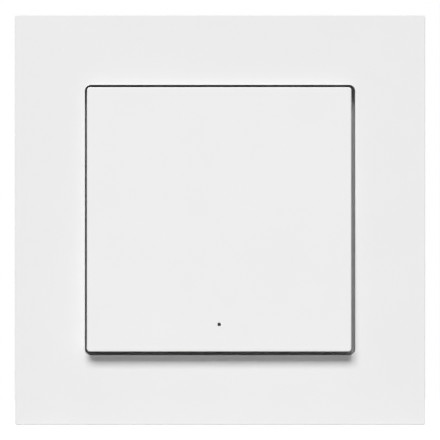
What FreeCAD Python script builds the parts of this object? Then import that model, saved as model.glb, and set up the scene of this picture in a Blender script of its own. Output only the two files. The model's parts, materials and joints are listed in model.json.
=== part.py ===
"""Battery wall remote in the 55 mm switch format: a square frame, one large rocker, and the
radio module behind it, with its cells, board, switches and wall plate.

Millimetres. +X is to the right and +Z up, seen from the front. The wall is the plane Y = 0 and
the front looks along -Y, so a depth in this file is the distance from the wall.
"""
import FreeCAD, Part
import Sketcher
import math
import os

SIZES = {
    # Frame
    "frame_side": 86.0,
    "frame_back": 0.4,
    "frame_front": 13.5,
    "frame_wall": 2.0,
    "frame_face": 2.0,
    "frame_draft": 0.3,
    "frame_corner": 0.5,
    "frame_edge": 0.12,
    "frame_play_x": 0.17,
    "frame_play_z": -0.12,
    "opening_corner": 1.3,
    "opening_draft": 1.0,
    "return_wall": 1.4,
    "ledge_thick": 1.15,
    "ledge_overlap": 1.9,
    "rib_thick": 1.2,
    "rib_place": 20.0,
    "rib_root": 0.2,
    "rib_clear": 2.0,
    "rib_slant": 2.5,
    # Rocker
    "rocker_gap": 0.65,
    "rocker_proud": 3.0,
    "rocker_lean": 1.8,
    "rocker_face": 1.6,
    "rocker_skirt": 1.3,
    "rocker_corner": 0.6,
    "rocker_edge": 0.2,
    "rocker_draft": 0.2,
    "rocker_tilt": 2.0,
    "rocker_run_gap": 0.24,
    "rocker_rib": 1.0,
    "rocker_rib_reach": 1.0,
    "rocker_rib_x": 10.0,
    "rocker_rib_z": 9.0,
    "pad_radius": 2.6,
    "pinhole_radius": 0.375,
    "pinhole_inset": 5.7,
    # Pivot
    "pin_radius": 1.0,
    "pin_gap": 0.05,
    "pin_length": 2.0,
    "pivot_above_collar": 1.6,
    "lug_thick": 1.8,
    "lug_half_width": 2.4,
    "lug_above_pivot": 1.6,
    "lug_slope": 0.8,
    # Radio module
    "module_corner": 1.5,
    "module_back": 0.6,
    "module_floor": 1.2,
    "module_split": 8.0,
    "ledge_gap": 0.3,
    "collar_gap": 0.4,
    "collar_back": 8.8,
    "collar_front": 10.0,
    "collar_corner": 1.3,
    "carrier_plate": 1.0,
    "partition": 0.95,
    "end_wall": 1.7,
    "core_beyond_bays": 0.4,
    "cut_beyond": 1.0,
    # Cells and their bays
    "cell_radius": 5.25,
    "cell_length": 44.5,
    "cell_edge": 0.6,
    "nub_radius": 1.9,
    "nub_length": 0.9,
    "cell_back_gap": 0.05,
    "bay_gap": 0.2,
    "bay_roof": 0.7,
    "bay_end": 0.9,
    "lip_length": 9.0,
    "lip_place": 12.0,
    "lip_reach": 0.55,
    "lip_root": 0.3,
    "lip_back": 1.2,
    "lip_slope": 0.8,
    "lip_flat": 1.2,
    # Battery contacts
    "contact_thick": 0.4,
    "contact_width": 8.4,
    "contact_low": 2.2,
    "strip_width": 1.2,
    "strip_bed": 0.2,
    "strip_side_gap": 0.3,
    "lug_width": 2.0,
    "lug_reach": 2.0,
    "lug_foil": 0.3,
    "lug_to_boss": 1.1,
    "spring_height": 2.7,
    "spring_wire": 0.5,
    "spring_wide": 3.1,
    "spring_turns": 2.0,
    "spring_cone": 14.0,
    # Circuit board
    "board_thick": 1.0,
    "board_back": 5.0,
    "board_gap": 0.5,
    "board_end_gap": 1.0,
    "notch_gap_x": 0.9,
    "notch_gap_z": 0.7,
    "post_side": 2.0,
    "post_place": 8.0,
    "leg_wide": 1.2,
    "leg_tall": 3.0,
    "leg_inset": 1.0,
    "leg_place": 10.0,
    # Rocker switches
    "switch_to_guide": 5.4,
    "switch_side": 6.2,
    "switch_height": 2.8,
    "stem_radius": 1.7,
    "stem_gap": 0.1,
    "stem_travel_gap": 0.15,
    "stem_inside": 1.5,
    "stem_tip_radius": 0.8,
    "stem_tip_height": 0.5,
    "stem_proud": 2.1,
    "stem_pad_gap": 0.06,
    "stem_window": 0.6,
    # Light and light guide
    "led_width": 2.0,
    "led_tall": 1.25,
    "led_base": 0.3,
    "led_lens": 0.4,
    "led_lens_wide": 1.2,
    "guide_radius": 1.0,
    "guide_flange": 1.6,
    "guide_flange_thick": 0.8,
    "guide_above_led": 0.3,
    "guide_proud": 3.5,
    "guide_gap": 0.2,
    # Radio parts on the board
    "shield_wide": 12.0,
    "shield_tall": 14.0,
    "shield_height": 2.2,
    "shield_wall": 0.25,
    "shield_corner": 0.6,
    "shield_inset": 1.4,
    "shield_z": -2.0,
    "chip_side": 5.0,
    "chip_height": 0.9,
    "chip_up": 2.0,
    "crystal_wide": 3.2,
    "crystal_tall": 2.5,
    "crystal_height": 0.7,
    "crystal_drop": 5.0,
    "can_radius": 2.0,
    "can_height": 2.0,
    "can_base": 4.4,
    "can_base_height": 0.5,
    "can_from_antenna": 3.0,
    "can_gap": 0.4,
    "antenna_thick": 0.8,
    "antenna_bend": 1.2,
    "antenna_inset": 2.9,
    "antenna_z": -3.0,
    "antenna_length": 18.0,
    "antenna_height": 1.4,
    # Pairing button, pressed from the wall side
    "button_place": 6.0,
    "button_radius": 2.4,
    "button_gap": 0.15,
    "button_recess": 0.25,
    "button_flange": 3.1,
    "button_flange_thick": 0.5,
    "button_travel": 0.3,
    "button_float": 0.05,
    "pairing_side": 4.5,
    "pairing_height": 1.7,
    "pairing_stem_radius": 0.9,
    "pairing_stem_inside": 0.7,
    # Housing screws
    "boss_to_wall": 1.2,
    "boss_to_end": 1.3,
    "screw_radius": 1.0,
    "screw_gap": 0.06,
    "screw_head": 1.8,
    "screw_head_height": 1.1,
    "screw_head_sunk": 0.4,
    "screw_length": 7.2,
    "screw_tip_gap": 0.3,
    "screw_cross": 0.45,
    "screw_cross_reach": 1.1,
    "screw_cross_depth": 0.6,
    "boss_half": 2.1,
    "boss_height": 1.6,
    "boss_gap": 0.1,
    "counterbore_gap": 0.25,
    # Wall plate
    "plate_thick": 2.0,
    "plate_corner": 3.0,
    "plate_window_gap": 0.5,
    "plate_rim": 1.0,
    "plate_rim_height": 0.8,
    "slot_width": 3.4,
    "slot_length": 5.4,
    "slot_to_window": 1.1,
    "slot_to_rim": 1.8,
    "hook_place": 14.0,
    "hook_width": 5.0,
    "hook_thick": 1.2,
    "hook_top": 6.9,
    "hook_nose": 0.9,
    "hook_nose_low": 5.3,
    "hook_nose_thick": 0.4,
    "hook_gap": 0.15,
    "recess_below": 0.3,
    "recess_above": 0.8,
    "recess_side": 0.7,
}

document = FreeCAD.newDocument("wall_remote")
sheet = document.addObject("Spreadsheet::Sheet", "Sizes")
for row, (alias, value) in enumerate(SIZES.items(), start=1):
    sheet.set("A%d" % row, alias.replace("_", " "))
    sheet.set("B%d" % row, str(value))
    sheet.setAlias("B%d" % row, alias)
document.recompute()


class Size:
    """A size of the sheet, or a formula of several: its number now and its expression."""

    def __init__(self, number, text):
        self.number = number
        self.text = text

    def joined(self, sign, other, number):
        return Size(number, "(%s %s %s)" % (self.text, sign, other.text))

    def __add__(self, other):
        other = as_size(other)
        return self.joined("+", other, self.number + other.number)

    def __sub__(self, other):
        other = as_size(other)
        return self.joined("-", other, self.number - other.number)

    def __mul__(self, other):
        other = as_size(other)
        return self.joined("*", other, self.number * other.number)

    def __truediv__(self, other):
        other = as_size(other)
        return self.joined("/", other, self.number / other.number)

    def __radd__(self, other):
        return as_size(other) + self

    def __rsub__(self, other):
        return as_size(other) - self

    def __rmul__(self, other):
        return as_size(other) * self

    def __neg__(self):
        return Size(-self.number, "(0 - %s)" % self.text)


def as_size(value):
    """A plain number as a size, or the size itself."""
    if isinstance(value, Size):
        return value
    return Size(float(value), repr(value))


def tangent(angle):
    """The tangent of an angle of the sheet, in degrees."""
    return Size(math.tan(math.radians(angle.number)), "tan(%s)" % angle.text)


class Sizes:
    """The sheet's sizes by name."""

    def __getattr__(self, name):
        return Size(float(sheet.get(name)), "Sizes." + name)


s = Sizes()

# The module grows out from its cells, and the frame's opening and the rocker from the module
contact_face = (s.cell_length + s.spring_height) / 2
bay_half_length = contact_face + s.contact_thick
module_half = bay_half_length + s.end_wall
ledge_half = module_half + s.ledge_gap
collar_half = ledge_half + s.ledge_overlap
opening_half = collar_half + s.collar_gap
rocker_half = opening_half - s.rocker_gap
frame_half = s.frame_side / 2
return_half = opening_half + s.return_wall
ledge_back = s.collar_back - s.ledge_thick

# Cells, core and board, from the module's sides inward
bay_radius = s.cell_radius + s.bay_gap
cell_x = module_half - s.partition - bay_radius
cell_axis = s.module_back + s.cell_back_gap + s.cell_radius
bay_inner = cell_x - bay_radius
bay_outer = cell_x + bay_radius
core_half = bay_inner - s.partition
core_end = bay_half_length + s.core_beyond_bays
floor_front = s.module_back + s.module_floor
plate_under = s.collar_front - s.carrier_plate
board_front = s.board_back + s.board_thick
board_half = core_half - s.board_gap
screw_x = core_half - s.boss_to_wall - s.boss_half
screw_z = core_end - s.boss_to_end - s.boss_half
screw_head_back = s.module_back + s.screw_head_sunk
screw_head_front = screw_head_back + s.screw_head_height
screw_end = screw_head_front + s.screw_length
boss_back = floor_front + s.boss_height
strip_low = board_front
strip_high = strip_low + s.strip_width

# Rocker: its face leans back towards the top, so it stands out most at its lower edge
skirt_inner = rocker_half - s.rocker_skirt
edge_travel = rocker_half * tangent(s.rocker_tilt)
skirt_end = s.collar_front + edge_travel + s.rocker_run_gap
rocker_front = s.frame_front + s.rocker_proud
pivot_depth = s.collar_front + s.pivot_above_collar
pinhole_below = rocker_half - s.pinhole_inset
switch_place = pinhole_below - s.switch_to_guide
switch_top = board_front + s.switch_height
stem_tip = s.collar_front + s.stem_proud
pad_end = stem_tip + s.stem_pad_gap
stem_travel = switch_place * tangent(s.rocker_tilt)

# Wall plate
window_half = module_half + s.plate_window_gap
slot_place = window_half + s.slot_to_window + s.slot_length / 2
plate_half = slot_place + s.slot_length / 2 + s.slot_to_rim + s.plate_rim
hook_nose_front = s.hook_nose_low + s.hook_nose_thick


def rocker_face_depth(up):
    """Depth of the rocker's leaning face at a height."""
    return rocker_front - (as_size(up) + rocker_half) * tangent(s.rocker_lean)


def rocker_under_depth(up):
    """Depth of the inside of the rocker's face at a height."""
    return rocker_face_depth(up) - s.rocker_face


def bind(feature, name, value):
    """Tie a property of a feature to the sheet."""
    feature.setExpression(name, as_size(value).text)


# How the three views of a sketch lie: its plane, and the sign of its two coordinates.
# A front sketch holds (x, z), a side sketch (depth, z) and a top sketch (x, depth).
VIEWS = {
    "front": ("XZ_Plane", 1, 1),
    "side": ("YZ_Plane", -1, 1),
    "top": ("XY_Plane", 1, -1),
}


def pin_point(sketch, geometry, end, across, up):
    """Fix one point of a sketch by its two distances from the origin."""
    for kind, value in (("DistanceX", across), ("DistanceY", up)):
        index = sketch.addConstraint(Sketcher.Constraint(kind, -1, 1, geometry, end, value.number))
        sketch.setExpression("Constraints[%d]" % index, value.text)


def in_order(*sizes):
    """Sizes with the smallest first."""
    return sorted(sizes, key=lambda size: size.number)


def vector(across, up):
    return FreeCAD.Vector(across.number, up.number, 0)


def polygon(*corners):
    """A closed outline of straight lines."""
    def draw(sketch, turn):
        places = [turn(across, up) for across, up in corners]
        lines = []
        for place, following in zip(places, places[1:] + places[:1]):
            lines.append(sketch.addGeometry(Part.LineSegment(vector(*place), vector(*following)), False))
        for line, following in zip(lines, lines[1:] + lines[:1]):
            sketch.addConstraint(Sketcher.Constraint("Coincident", line, 2, following, 1))
        for line, place in zip(lines, places):
            pin_point(sketch, line, 1, *place)
    return draw


def rectangle(left, right, low, high):
    return polygon((left, low), (right, low), (right, high), (left, high))


def square(half):
    return rectangle(-half, half, -half, half)


def square_at(across, up, half):
    return rectangle(across - half, across + half, up - half, up + half)


def circle(across, up, radius):
    def draw(sketch, turn):
        centre = turn(across, up)
        ring = sketch.addGeometry(Part.Circle(vector(*centre), FreeCAD.Vector(0, 0, 1), radius.number), False)
        pin_point(sketch, ring, 3, *centre)
        index = sketch.addConstraint(Sketcher.Constraint("Radius", ring, radius.number))
        sketch.setExpression("Constraints[%d]" % index, radius.text)
    return draw


def arc_ends(sketch, arc, near):
    """The arc's end at a place comes first, then its other end."""
    start = sketch.getPoint(arc, 1)
    if (start - vector(*near)).Length < 1e-6:
        return (1, 2)
    return (2, 1)


def slot(across, up, length, width, lies="across"):
    """A slot with round ends, lying across or standing up."""
    def draw(sketch, turn):
        radius = width / 2
        reach = length / 2 - radius
        if lies == "across":
            corners = [(across - reach, up - radius), (across + reach, up - radius),
                       (across + reach, up + radius), (across - reach, up + radius)]
            ends = [(across + reach, up), (across - reach, up)]
            tips = [(across + reach + radius, up), (across - reach - radius, up)]
            kind = 0
        else:
            corners = [(across + radius, up - reach), (across + radius, up + reach),
                       (across - radius, up + reach), (across - radius, up - reach)]
            ends = [(across, up + reach), (across, up - reach)]
            tips = [(across, up + reach + radius), (across, up - reach - radius)]
            kind = 1
        places = [turn(*corner) for corner in corners]
        sides = []
        for first in (0, 2):
            line = Part.LineSegment(vector(*places[first]), vector(*places[first + 1]))
            sides.append(sketch.addGeometry(line, False))
            pin_point(sketch, sides[-1], 1, *places[first])
            pin_point(sketch, sides[-1], 2, *places[first + 1])
        for number, (near, far) in enumerate(((1, 2), (3, 0))):
            tip = turn(*tips[number])
            through = Part.Arc(vector(*places[near]), vector(*tip), vector(*places[far]))
            arc = sketch.addGeometry(through, False)
            order = arc_ends(sketch, arc, places[near])
            sketch.addConstraint(Sketcher.Constraint("Coincident", arc, order[0], sides[number], 2))
            sketch.addConstraint(Sketcher.Constraint("Coincident", arc, order[1], sides[1 - number], 1))
            centre = turn(*ends[number])
            name = ("DistanceX", "DistanceY")[kind]
            index = sketch.addConstraint(Sketcher.Constraint(name, -1, 1, arc, 3, centre[kind].number))
            sketch.setExpression("Constraints[%d]" % index, centre[kind].text)
    return draw


class Piece:
    """One piece of the product: a body whose sketches and features read the sheet."""

    def __init__(self, label):
        self.body = document.addObject("PartDesign::Body", label)
        self.body.Label = label
        self.body.Placement = FreeCAD.Placement()
        self.planes = {feature.Role: feature for feature in self.body.Origin.OriginFeatures}
        PIECES.append(self.body)

    def sketch(self, name, view, outlines, level, across=0, up=0):
        plane, flip_across, flip_up = VIEWS[view]
        sketch = self.body.newObject("Sketcher::SketchObject", name + "_sketch")
        sketch.AttachmentSupport = [(self.planes[plane], "")]
        sketch.MapMode = "FlatFace"
        bind(sketch, "AttachmentOffset.Base.x", flip_across * as_size(across))
        bind(sketch, "AttachmentOffset.Base.y", flip_up * as_size(up))
        bind(sketch, "AttachmentOffset.Base.z", level)

        def turn(first, second):
            return (flip_across * as_size(first), flip_up * as_size(second))

        for draw in outlines:
            draw(sketch, turn)
        sketch.Visibility = False
        return sketch

    def pad(self, name, view, outlines, start, end):
        """Add material between two levels of a view."""
        pad = self.body.newObject("PartDesign::Pad", name)
        pad.Profile = self.sketch(name, view, outlines, start)
        bind(pad, "Length", end - start)
        return pad

    def cut(self, name, view, outlines, start, end):
        """Take material away between two levels of a view."""
        pocket = self.body.newObject("PartDesign::Pocket", name)
        pocket.Profile = self.sketch(name, view, outlines, end)
        bind(pocket, "Length", end - start)
        return pocket

    def turned(self, name, view, outlines, level, across, groove=False):
        """Turn a half section about the sketch's upright axis, moved across to its place."""
        kind = "PartDesign::Groove" if groove else "PartDesign::Revolution"
        feature = self.body.newObject(kind, name)
        sketch = self.sketch(name, view, outlines, level, across=across)
        feature.Profile = sketch
        feature.ReferenceAxis = (sketch, ["V_Axis"])
        feature.Angle = 360
        return feature

    def pick(self, choose):
        """The names of the edges so far that a test chooses."""
        document.recompute()
        edges = self.body.Tip.Shape.Edges
        return ["Edge%d" % (number + 1) for number, edge in enumerate(edges) if choose(edge)]

    def wedge(self, name, back_half, front_half, back, front, hollow=False):
        """A square block, or a hollow, whose four walls lean between two depths."""
        kind = "PartDesign::SubtractiveWedge" if hollow else "PartDesign::AdditiveWedge"
        feature = self.body.newObject(kind, name)
        for across in ("X", "Z"):
            bind(feature, across + "min", -front_half)
            bind(feature, across + "max", front_half)
            bind(feature, across + "2min", -back_half)
            bind(feature, across + "2max", back_half)
        bind(feature, "Ymin", -front)
        bind(feature, "Ymax", -back)
        return feature

    def round(self, name, radius, choose):
        """Fillet the edges that a test chooses."""
        names = self.pick(choose)
        tip = self.body.Tip
        fillet = self.body.newObject("PartDesign::Fillet", name)
        fillet.Base = (tip, names)
        bind(fillet, "Radius", radius)
        return fillet

    def around(self, name, features, count):
        """Repeat features about the front's axis."""
        pattern = self.body.newObject("PartDesign::PolarPattern", name)
        pattern.Originals = features
        pattern.Axis = (self.planes["Y_Axis"], [""])
        pattern.Angle = 360
        pattern.Occurrences = count
        self.body.Tip = pattern
        return pattern


PIECES = []


# How close a face or an edge has to lie to where it is looked for
SAME = 0.01
NEAR = 0.4


def depth_of(point):
    return -point.y


def corner_edge(half, low=None, high=None):
    """Edges that run from back to front at the four corners of a square."""
    def choose(edge):
        first, last = edge.Vertexes[0].Point, edge.Vertexes[-1].Point
        if (first - last).Length < NEAR or abs(first.y - last.y) < 0.9 * (first - last).Length:
            return False
        middle = (first + last) / 2
        if low is not None and not low.number < depth_of(middle) < high.number:
            return False
        return abs(abs(middle.x) - half.number) < NEAR and abs(abs(middle.z) - half.number) < NEAR
    return choose


def rim_edge(half, face_depth):
    """The edges round a square face, whose depth may change with the height."""
    def choose(edge):
        points = [vertex.Point for vertex in edge.Vertexes]
        if max(abs(depth_of(point) - face_depth(point.z).number) for point in points) > SAME:
            return False
        middle = edge.valueAt((edge.FirstParameter + edge.LastParameter) / 2)
        reach = max(abs(middle.x), abs(middle.z))
        return abs(reach - half.number) < NEAR
    return choose


SIDES = (-1, 1)
QUARTERS = [(left, low) for left in SIDES for low in SIDES]
SCREW_CORNERS = ((-1, -1), (1, 1))


def make_frame():
    piece = Piece("frame")
    front_half = frame_half - (s.frame_front - s.frame_back) * tangent(s.frame_draft)
    opening_back_half = opening_half - (s.frame_front - s.collar_back) * tangent(s.opening_draft)
    face_back = s.frame_front - s.frame_face
    piece.wedge("shell", frame_half, front_half, s.frame_back, s.frame_front)
    piece.cut("hollow", "front", [square(frame_half - s.frame_wall), square(return_half)],
              s.frame_back, face_back)
    piece.cut("behind_ledge", "front", [square(return_half)], s.frame_back, ledge_back)
    piece.wedge("opening", opening_back_half, opening_half, s.collar_back, s.frame_front, hollow=True)
    piece.cut("ledge_opening", "front", [square(ledge_half)], ledge_back, s.collar_back)
    ribs = []
    rib_foot = s.plate_thick
    wall_inner = frame_half - s.frame_wall
    for side in SIDES:
        place = side * s.rib_place
        outline = polygon((face_back, return_half - s.rib_root), (rib_foot, return_half - s.rib_root),
                          (rib_foot, plate_half - s.plate_rim - s.rib_clear),
                          (face_back - s.rib_slant, wall_inner + s.rib_root),
                          (face_back, wall_inner + s.rib_root))
        ribs.append(piece.pad("rib_%d" % (side + 1), "side", [outline],
                              place - s.rib_thick / 2, place + s.rib_thick / 2))
    piece.around("ribs_round", ribs, 4)
    piece.round("corners", s.frame_corner, corner_edge((frame_half + front_half) / 2))
    piece.round("opening_corners", s.opening_corner, corner_edge(opening_half, s.collar_back, s.frame_front))
    piece.round("front_edge", s.frame_edge, rim_edge(front_half, lambda up: s.frame_front))
    bind(piece.body, "Placement.Base.x", s.frame_play_x)
    bind(piece.body, "Placement.Base.z", s.frame_play_z)


def make_rocker():
    piece = Piece("rocker")
    skirt_half = rocker_half + (rocker_front - skirt_end) * tangent(s.rocker_draft)
    piece.wedge("cap", skirt_half, rocker_half, skirt_end, rocker_front)
    beyond = rocker_half + s.cut_beyond
    lean = polygon((rocker_face_depth(-beyond), -beyond), (rocker_face_depth(beyond), beyond),
                   (rocker_face_depth(-beyond), beyond))
    piece.cut("lean", "side", [lean], -beyond, beyond)
    piece.round("corners", s.rocker_corner, corner_edge(rocker_half))
    piece.round("face_edge", s.rocker_edge, rim_edge(rocker_half, rocker_face_depth))
    hollow = polygon((skirt_end, -skirt_inner), (rocker_under_depth(-skirt_inner), -skirt_inner),
                     (rocker_under_depth(skirt_inner), skirt_inner), (skirt_end, skirt_inner))
    piece.cut("hollow", "side", [hollow], -skirt_inner, skirt_inner)
    half_rib = s.rocker_rib / 2
    for side in SIDES:
        low = side * s.rocker_rib_z - half_rib
        high = side * s.rocker_rib_z + half_rib
        rib = polygon((rocker_under_depth(low) - s.rocker_rib_reach, low),
                      (rocker_face_depth(low) - s.rocker_rib, low),
                      (rocker_face_depth(high) - s.rocker_rib, high),
                      (rocker_under_depth(high) - s.rocker_rib_reach, high))
        piece.pad("cross_rib_%d" % (side + 1), "side", [rib], -skirt_inner, skirt_inner)
    rib = polygon((rocker_under_depth(-skirt_inner) - s.rocker_rib_reach, -skirt_inner),
                  (rocker_face_depth(-skirt_inner) - s.rocker_rib, -skirt_inner),
                  (rocker_face_depth(skirt_inner) - s.rocker_rib, skirt_inner),
                  (rocker_under_depth(skirt_inner) - s.rocker_rib_reach, skirt_inner))
    for side in SIDES:
        along = side * s.rocker_rib_x
        piece.pad("long_rib_%d" % (side + 1), "side", [rib], along - half_rib, along + half_rib)
        piece.pad("pad_%d" % (side + 1), "front", [circle(as_size(0), side * switch_place, s.pad_radius)],
                  pad_end, rocker_face_depth(side * switch_place) - s.rocker_rib)
    piece.pad("pin_right", "side", [circle(pivot_depth, as_size(0), s.pin_radius)],
              skirt_inner - s.pin_length, skirt_inner)
    piece.pad("pin_left", "side", [circle(pivot_depth, as_size(0), s.pin_radius)],
              -skirt_inner, s.pin_length - skirt_inner)
    piece.cut("pinhole", "front", [circle(as_size(0), -pinhole_below, s.pinhole_radius)],
              skirt_end, rocker_front)


def make_wall_plate():
    piece = Piece("wall_plate")
    piece.pad("plate", "front", [square(plate_half), square(window_half)], as_size(0), s.plate_thick)
    piece.round("corners", s.plate_corner, corner_edge(plate_half))
    piece.round("window_corners", s.module_corner, corner_edge(window_half))
    rim_top = s.plate_thick + s.plate_rim_height
    rim_reach = plate_half - s.plate_corner
    for side in SIDES:
        outer = side * plate_half
        inner = side * (plate_half - s.plate_rim)
        piece.pad("rim_%d" % (side + 1), "front", [rectangle(inner, outer, -rim_reach, rim_reach)],
                  s.plate_thick, rim_top)
        piece.pad("rim_flat_%d" % (side + 1), "front", [rectangle(-rim_reach, rim_reach, inner, outer)],
                  s.plate_thick, rim_top)
    across = [slot(side * slot_place, as_size(0), s.slot_length, s.slot_width, "across") for side in SIDES]
    upright = [slot(as_size(0), side * slot_place, s.slot_length, s.slot_width, "upright") for side in SIDES]
    piece.cut("slots_across", "front", across, as_size(0), s.plate_thick)
    piece.cut("slots_upright", "front", upright, as_size(0), s.plate_thick)
    leg_outer = window_half + s.hook_thick
    nose = window_half - s.hook_nose
    for left, low in QUARTERS:
        middle = low * s.hook_place
        hook = polygon((left * window_half, s.plate_thick / 2), (left * leg_outer, s.plate_thick / 2),
                       (left * leg_outer, s.hook_top), (left * window_half, s.hook_top),
                       (left * nose, hook_nose_front), (left * nose, s.hook_nose_low),
                       (left * window_half, s.hook_nose_low))
        piece.pad("hook_%d_%d" % (left + 1, low + 1), "top", [hook],
                  middle - s.hook_width / 2, middle + s.hook_width / 2)


def make_module_base():
    piece = Piece("module_base")
    piece.pad("block", "front", [square(module_half)], s.module_back, s.module_split)
    piece.round("corners", s.module_corner, corner_edge(module_half))
    bays = [rectangle(*in_order(side * bay_inner, side * bay_outer), -bay_half_length, bay_half_length)
            for side in SIDES]
    piece.cut("bays", "front", bays, s.module_back, s.module_split)
    piece.cut("core", "front", [rectangle(-core_half, core_half, -core_end, core_end)],
              floor_front, s.module_split)
    notch_depth = strip_low - s.strip_bed
    for low in SIDES:
        ends = in_order(low * (contact_face - s.strip_side_gap), low * bay_half_length)
        piece.cut("strip_notch_%d" % (low + 1), "front", [rectangle(-cell_x, cell_x, *ends)],
                  notch_depth, s.module_split)
    piece.pad("bosses", "front",
              [square_at(left * screw_x, low * screw_z, s.boss_half) for left, low in QUARTERS],
              floor_front, boss_back)
    piece.cut("counterbores", "front",
              [circle(left * screw_x, low * screw_z, s.screw_head + s.counterbore_gap)
               for left, low in SCREW_CORNERS], s.module_back, screw_head_front)
    piece.cut("screw_holes", "front",
              [circle(left * screw_x, low * screw_z, s.screw_radius + s.screw_gap)
               for left, low in SCREW_CORNERS], screw_head_front, boss_back)
    post = s.post_side / 2
    post_x = core_half - post
    piece.pad("board_posts", "front",
              [rectangle(left * post_x - post, left * post_x + post,
                         low * s.post_place - post, low * s.post_place + post) for left, low in QUARTERS],
              floor_front, s.board_back)
    piece.cut("button_hole", "front",
              [circle(as_size(0), s.button_place, s.button_radius + s.button_gap)],
              s.module_back, floor_front)
    recess_low = s.hook_nose_low - s.recess_below
    recess_high = hook_nose_front + s.recess_above
    nose = window_half - s.hook_nose - s.hook_gap
    reach = s.hook_width / 2 + s.recess_side
    for left, low in QUARTERS:
        middle = low * s.hook_place
        edges = in_order(left * nose, left * (module_half + s.cut_beyond))
        piece.cut("hook_recess_%d_%d" % (left + 1, low + 1), "front",
                  [rectangle(*edges, middle - reach, middle + reach)], recess_low, recess_high)
    flat_back = s.lip_back + s.lip_slope
    flat_front = flat_back + s.lip_flat
    lip_front = flat_front + s.lip_slope
    for number, (left, low) in enumerate(QUARTERS):
        middle = low * s.lip_place
        for away in SIDES:
            wall = left * cell_x + away * bay_radius
            tip = wall - away * s.lip_reach
            root = wall + away * s.lip_root
            lip = polygon((root, s.lip_back), (wall, s.lip_back), (tip, flat_back), (tip, flat_front),
                          (wall, lip_front), (root, lip_front))
            piece.pad("lip_%d_%d" % (number, away + 1), "top", [lip],
                      middle - s.lip_length / 2, middle + s.lip_length / 2)


def make_module_carrier():
    piece = Piece("module_carrier")
    piece.pad("collar", "front", [square(collar_half)], s.collar_back, s.collar_front)
    piece.round("collar_corners", s.collar_corner, corner_edge(collar_half))
    piece.pad("body", "front", [square(module_half)], s.module_split, s.collar_back)
    roof = bay_radius + s.bay_roof
    roof_half = bay_half_length + s.bay_end
    for side in SIDES:
        piece.pad("bay_roof_%d" % (side + 1), "top", [circle(side * cell_x, cell_axis, roof)],
                  -roof_half, roof_half)
    piece.cut("below_split", "front", [square(module_half + s.cut_beyond)],
              cell_axis - roof - s.cut_beyond, s.module_split)
    for side in SIDES:
        piece.cut("bay_hollow_%d" % (side + 1), "top", [circle(side * cell_x, cell_axis, bay_radius)],
                  -bay_half_length, bay_half_length)
    piece.cut("core", "front", [rectangle(-core_half, core_half, -core_end, core_end)],
              s.module_split, plate_under)
    piece.pad("bosses", "front",
              [square_at(left * screw_x, low * screw_z, s.boss_half) for left, low in QUARTERS],
              boss_back + s.boss_gap, plate_under)
    piece.cut("boss_bores", "front",
              [circle(left * screw_x, low * screw_z, s.screw_radius + s.screw_gap)
               for left, low in SCREW_CORNERS], boss_back + s.boss_gap, screw_end + s.screw_tip_gap)
    piece.cut("stem_windows", "front",
              [square_at(as_size(0), side * switch_place, s.stem_radius + s.stem_window) for side in SIDES],
              plate_under, s.collar_front)
    piece.cut("guide_window", "front",
              [square_at(as_size(0), -pinhole_below, s.guide_radius + s.guide_gap)],
              plate_under, s.collar_front)
    leg_x = core_half - s.leg_inset
    piece.pad("board_legs", "front",
              [rectangle(left * leg_x - s.leg_wide / 2, left * leg_x + s.leg_wide / 2,
                         low * s.leg_place - s.leg_tall / 2, low * s.leg_place + s.leg_tall / 2)
               for left, low in QUARTERS], board_front, plate_under)
    lug_top = pivot_depth + s.lug_above_pivot
    lug_start = module_half - s.lug_thick
    width = s.lug_half_width
    tip_width = width - s.lug_slope
    lug = polygon((plate_under, -width), (pivot_depth, -width), (lug_top, -tip_width),
                  (lug_top, tip_width), (pivot_depth, width), (plate_under, width))
    for side in SIDES:
        start, end = in_order(side * lug_start, side * module_half)
        piece.pad("lug_%d" % (side + 1), "side", [lug], start, end)
        piece.cut("lug_bore_%d" % (side + 1), "side",
                  [circle(pivot_depth, as_size(0), s.pin_radius + s.pin_gap)], start, end)


def make_circuit_board():
    piece = Piece("circuit_board")
    wide = board_half
    tall = core_end - s.board_end_gap
    neck = screw_x - s.boss_half - s.notch_gap_x
    shoulder = screw_z - s.boss_half - s.notch_gap_z
    piece.pad("board", "front",
              [polygon((-neck, -tall), (neck, -tall), (neck, -shoulder), (wide, -shoulder), (wide, shoulder),
                       (neck, shoulder), (neck, tall), (-neck, tall), (-neck, shoulder), (-wide, shoulder),
                       (-wide, -shoulder), (-neck, -shoulder))],
              s.board_back, board_front)


def make_rocker_switch(name, side):
    """A switch's housing on the board, and its plunger, which follows the rocker both ways."""
    place = side * switch_place
    stem_back = switch_top - s.stem_inside
    housing = Piece(name + "_switch_body")
    housing.pad("housing", "front", [square_at(as_size(0), place, s.switch_side / 2)],
                board_front, switch_top)
    housing.cut("bore", "front", [circle(as_size(0), place, s.stem_radius + s.stem_gap)],
                stem_back - stem_travel - s.stem_travel_gap, switch_top)
    stem = Piece(name + "_switch_stem")
    stem.turned("plunger", "top",
                [polygon((0, stem_back), (s.stem_radius, stem_back),
                         (s.stem_radius, stem_tip - s.stem_tip_height), (s.stem_tip_radius, stem_tip),
                         (0, stem_tip))], place, 0)


def make_light():
    led = Piece("status_led")
    half = s.led_width / 2
    tall = s.led_tall / 2
    top = board_front + s.led_base
    middle = -pinhole_below
    led.pad("carrier", "front", [rectangle(-half, half, middle - tall, middle + tall)], board_front, top)
    lens = s.led_lens_wide / 2
    led.pad("lens", "front", [rectangle(-lens, lens, middle - tall, middle + tall)], top, top + s.led_lens)
    guide = Piece("light_guide")
    back = top + s.led_lens + s.guide_above_led
    tip = s.collar_front + s.guide_proud
    guide.pad("rod", "front", [circle(as_size(0), middle, s.guide_radius)], back, tip)
    guide.pad("flange", "front", [circle(as_size(0), middle, s.guide_flange)],
              plate_under - s.guide_flange_thick, plate_under)


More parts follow.
